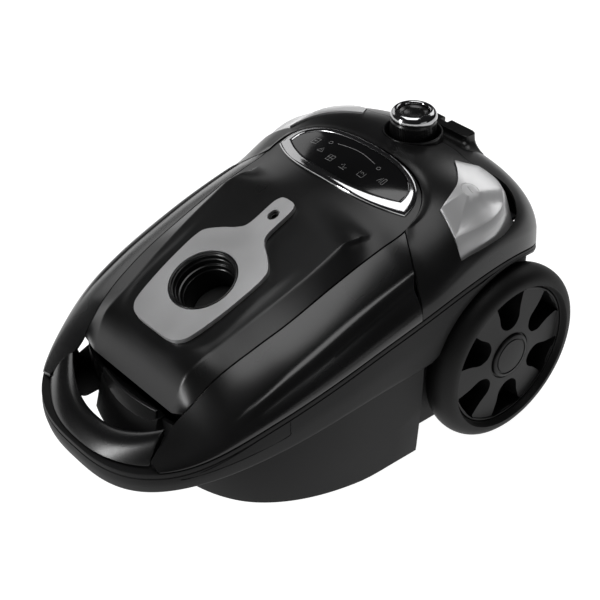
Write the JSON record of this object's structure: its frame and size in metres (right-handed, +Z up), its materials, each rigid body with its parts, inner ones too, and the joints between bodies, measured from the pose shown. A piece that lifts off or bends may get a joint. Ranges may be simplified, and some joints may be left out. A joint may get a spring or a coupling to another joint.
{
  "type": "canister vacuum cleaner",
  "caption": "Black bagged canister vacuum cleaner with a silver hose plate, arc display, suction knob, two silver foot pedals, big spoked rear wheels and a front castor",
  "frame": {"origin": "on the floor, under the middle of the bounding box", "axes": "+X to the cleaner's left as it is pulled, which is the power pedal's side; +Y from the front handle to the rear; +Z up, the floor is z = 0"},
  "size_m": [0.276, 0.3978, 0.2378],
  "materials": {
    "gloss_black": "gloss",
    "satin_black": "satin",
    "matte_black": "matte",
    "tyre_rubber": "matte",
    "soft_rubber": "matte",
    "silver_metal": "satin",
    "silver_paint": "metallic gloss",
    "chrome": "mirror",
    "steel": "brushed",
    "smoked_lens": "gloss",
    "grey_plastic": "matte",
    "card": "matte",
    "foam": "matte",
    "circuit_board": "satin",
    "fleece": "matte",
    "white_plastic": "matte"
  },
  "bodies": {
    "chassis": {"lower_tub": "matte_black", "bumper_belt": "matte_black", "front_handle_cover": "gloss_black", "side_wing_left": "gloss_black", "side_wing_right": "gloss_black", "rear_casing": "satin_black", "parking_bracket": "satin_black", "power_pedal_pin": "steel", "rewind_pedal_pin": "steel", "power_pedal_spring": "steel", "rewind_pedal_spring": "steel", "power_switch": "grey_plastic", "inner_deck": "grey_plastic", "knob_collar": "satin_black", "speed_control": "grey_plastic", "left_axle": "steel", "right_axle": "steel", "dust_bag": "fleece", "bag_holder": "card", "compartment_bulkhead": "grey_plastic", "motor_filter": "foam", "motor_can": "steel", "motor_seal": "soft_rubber", "reel_spindle": "steel", "control_board": "circuit_board", "exhaust_filter": "fleece", "cord_outlet": "soft_rubber"},
    "lid": {"lid_shell": "satin_black", "inlet_plate": "silver_metal", "inlet_collar": "matte_black", "inlet_seal": "soft_rubber", "lid_seal": "soft_rubber", "display_bezel": "chrome", "display_lens": "smoked_lens", "display_board": "circuit_board", "hinge_arm_left": "grey_plastic", "hinge_arm_right": "grey_plastic"},
    "latch": {"lid_latch": "matte_black"},
    "power_button": {"power_pedal": "silver_paint"},
    "rewind_button": {"rewind_pedal": "silver_paint"},
    "plunger": {"switch_plunger": "white_plastic"},
    "reel_brake": {"reel_brake_lever": "grey_plastic"},
    "knob": {"suction_knob": "gloss_black", "knob_ring": "chrome", "knob_cap": "gloss_black", "knob_spindle": "steel"},
    "left_wheel": {"left_tyre": "tyre_rubber", "left_hub": "satin_black", "left_hub_cap": "satin_black"},
    "right_wheel": {"right_tyre": "tyre_rubber", "right_hub": "satin_black", "right_hub_cap": "satin_black"},
    "castor": {"castor_fork": "grey_plastic", "castor_axle": "steel"},
    "castor_roller": {"castor_wheel": "soft_rubber"},
    "fan": {"motor_shaft": "steel", "fan_impeller": "grey_plastic"},
    "cord_reel": {"reel_drum": "grey_plastic"},
    "exhaust_door": {"exhaust_grille": "satin_black"}
  },
  "joints": [
    {"name": "lid_open", "type": "hinge", "parent": "chassis", "child": "lid", "pos_m": [0, 0.09315, 0.219], "axis": [-1, 0, 0], "range_deg": [0, 65]},
    {"name": "latch_pull", "type": "hinge", "parent": "lid", "child": "latch", "pos_m": [0, -0.14935, 0.1025], "axis": [-1, 0, 0], "range_deg": [0, 12], "stiffness_Nm_per_rad": 0.15},
    {"name": "power_press", "type": "hinge", "parent": "chassis", "child": "power_button", "pos_m": [0.092, 0.08415, 0.17], "axis": [-1, 0, 0], "range_deg": [0, 1.8], "stiffness_Nm_per_rad": 8},
    {"name": "rewind_press", "type": "hinge", "parent": "chassis", "child": "rewind_button", "pos_m": [-0.092, 0.08415, 0.17], "axis": [-1, 0, 0], "range_deg": [0, 1.8], "stiffness_Nm_per_rad": 8},
    {"name": "switch_travel", "type": "slide", "parent": "chassis", "child": "plunger", "axis": [0, 0, -1], "range_m": [0, 0.0015]},
    {"name": "brake_release", "type": "hinge", "parent": "chassis", "child": "reel_brake", "pos_m": [-0.056, 0.12915, 0.04], "axis": [0, 0, 1], "range_deg": [0, 5]},
    {"name": "knob_turn", "type": "hinge", "parent": "chassis", "child": "knob", "pos_m": [0, 0.13515, 0.22], "axis": [0, 0, 1], "range_deg": [0, 270]},
    {"name": "left_wheel_roll", "type": "hinge", "parent": "chassis", "child": "left_wheel", "pos_m": [-0.123, 0.12415, 0.075], "axis": [1, 0, 0], "continuous": true},
    {"name": "right_wheel_roll", "type": "hinge", "parent": "chassis", "child": "right_wheel", "pos_m": [0.123, 0.12415, 0.075], "axis": [1, 0, 0], "continuous": true},
    {"name": "castor_swivel", "type": "hinge", "parent": "chassis", "child": "castor", "pos_m": [0, -0.10085, 0.02], "axis": [0, 0, 1], "continuous": true},
    {"name": "castor_roll", "type": "hinge", "parent": "castor", "child": "castor_roller", "pos_m": [0, -0.09185, 0.0125], "axis": [1, 0, 0], "continuous": true},
    {"name": "fan_spin", "type": "hinge", "parent": "chassis", "child": "fan", "pos_m": [0, 0.10515, 0.105], "axis": [0, 1, 0], "continuous": true},
    {"name": "reel_spin", "type": "hinge", "parent": "chassis", "child": "cord_reel", "pos_m": [0, 0.11215, 0.04], "axis": [0, 0, 1], "continuous": true},
    {"name": "exhaust_door_open", "type": "hinge", "parent": "chassis", "child": "exhaust_door", "pos_m": [0, 0.18715, 0.0608], "axis": [-1, 0, 0], "range_deg": [0, 75]}
  ],
  "couplings": [
    {"joint": "switch_travel", "follows": "power_press", "m_per_rad": 0.027},
    {"joint": "brake_release", "follows": "rewind_press", "ratio": 2}
  ]
}
